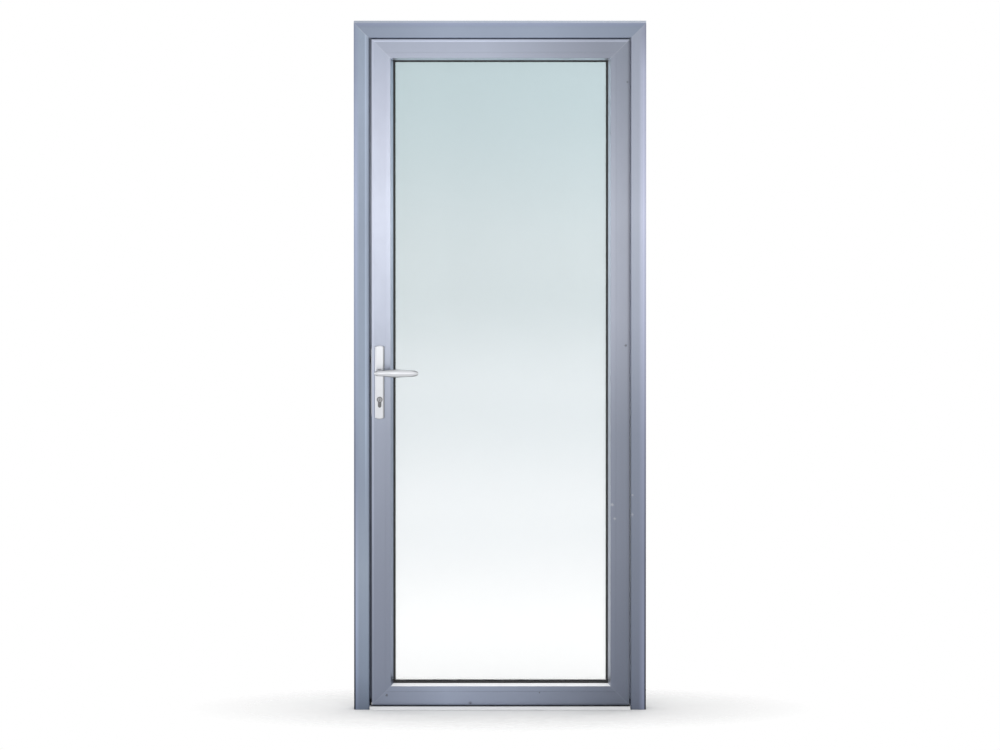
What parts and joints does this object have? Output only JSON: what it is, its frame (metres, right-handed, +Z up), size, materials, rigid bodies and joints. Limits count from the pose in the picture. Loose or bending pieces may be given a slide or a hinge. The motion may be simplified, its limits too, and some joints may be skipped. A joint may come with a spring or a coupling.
{
  "type": "casement door",
  "caption": "Glazed aluminium casement door in its frame: hinged leaf with a sealed glass unit, lever handles, latch, dead bolt, profile cylinder and low threshold.",
  "frame": {"origin": "on the floor, at the middle of the frame's width and depth, under the threshold", "axes": "+Z up, +X to the hinge side as seen from the front, +Y to the rear, the way the leaf opens"},
  "size_m": [0.885, 0.1646, 2.1],
  "materials": {
    "frame_metal": "satin anodised, bluish silver",
    "leaf_metal": "satin anodised, bluish silver",
    "bead_metal": "satin anodised, bluish silver",
    "threshold_metal": "bright satin",
    "bare_aluminium": "mill finish",
    "hinge_metal": "satin anodised",
    "steel": "zinc plated",
    "nylon": "matte",
    "glass": "clear, faintly blue",
    "black_rubber": "matte",
    "brush_pile": "pile",
    "handle_metal": "bright satin",
    "plated_brass": "nickel plated"
  },
  "bodies": {
    "frame": {"lock_jamb": "frame_metal", "hinge_jamb": "frame_metal", "head": "frame_metal", "threshold": "threshold_metal", "threshold_pads": "black_rubber", "frame_cleats": "bare_aluminium", "strike_plate": "steel", "strike_screws": "steel", "hinge_frame_screws": "steel", "top_hinge_frame_plate": "hinge_metal", "top_hinge_pin": "steel", "middle_hinge_frame_plate": "hinge_metal", "middle_hinge_pin": "steel", "bottom_hinge_frame_plate": "hinge_metal", "bottom_hinge_pin": "steel"},
    "leaf": {"lock_stile": "leaf_metal", "hinge_stile": "leaf_metal", "top_rail": "leaf_metal", "bottom_rail": "leaf_metal", "leaf_cleats": "bare_aluminium", "front_pane": "glass", "rear_pane": "glass", "spacer": "bare_aluminium", "edge_seal": "black_rubber", "front_gasket": "black_rubber", "rear_gasket": "black_rubber", "setting_blocks": "nylon", "location_blocks": "nylon", "leaf_seal": "black_rubber", "bottom_brush": "brush_pile", "lock_side_bead": "bead_metal", "top_bead": "bead_metal", "hinge_side_bead": "bead_metal", "bottom_bead": "bead_metal", "lock_case": "steel", "forend": "steel", "forend_screws": "steel", "cylinder_body": "plated_brass", "cylinder_screw": "steel", "front_backplate": "handle_metal", "rear_backplate": "handle_metal", "handle_screws": "steel", "hinge_leaf_screws": "steel", "top_hinge_leaf_plate": "hinge_metal", "top_hinge_bushes": "nylon", "middle_hinge_leaf_plate": "hinge_metal", "middle_hinge_bushes": "nylon", "bottom_hinge_leaf_plate": "hinge_metal", "bottom_hinge_bushes": "nylon"},
    "handle": {"front_lever": "handle_metal", "rear_lever": "handle_metal", "spindle": "steel", "follower": "steel", "grub_screws": "steel"},
    "latch": {"latch_bolt": "steel"},
    "dead_bolt": {"dead_bolt": "steel"},
    "key_plug": {"front_plug": "plated_brass", "rear_plug": "plated_brass", "cam": "plated_brass"}
  },
  "joints": [
    {"name": "door_swing", "type": "hinge", "parent": "frame", "child": "leaf", "pos_m": [0.4055, 0.038, 1], "axis": [0, 0, -1], "range_deg": [0, 110]},
    {"name": "handle_turn", "type": "hinge", "parent": "leaf", "child": "handle", "pos_m": [-0.3645, 0.001, 1.036], "axis": [0, 1, 0], "range_deg": [0, 40], "stiffness_Nm_per_rad": 1.2, "springref_deg": -40.11},
    {"name": "latch_slide", "type": "slide", "parent": "leaf", "child": "latch", "axis": [1, 0, 0], "range_m": [0, 0.011]},
    {"name": "key_turn", "type": "hinge", "parent": "leaf", "child": "key_plug", "pos_m": [-0.3645, 0.001, 0.951], "axis": [0, 1, 0], "range_deg": [0, 360]},
    {"name": "dead_bolt_slide", "type": "slide", "parent": "leaf", "child": "dead_bolt", "axis": [-1, 0, 0], "range_m": [0, 0.02]}
  ],
  "couplings": [
    {"joint": "latch_slide", "follows": "handle_turn", "m_per_rad": 0.01575},
    {"joint": "dead_bolt_slide", "follows": "key_turn", "m_per_rad": 0.003183}
  ]
}
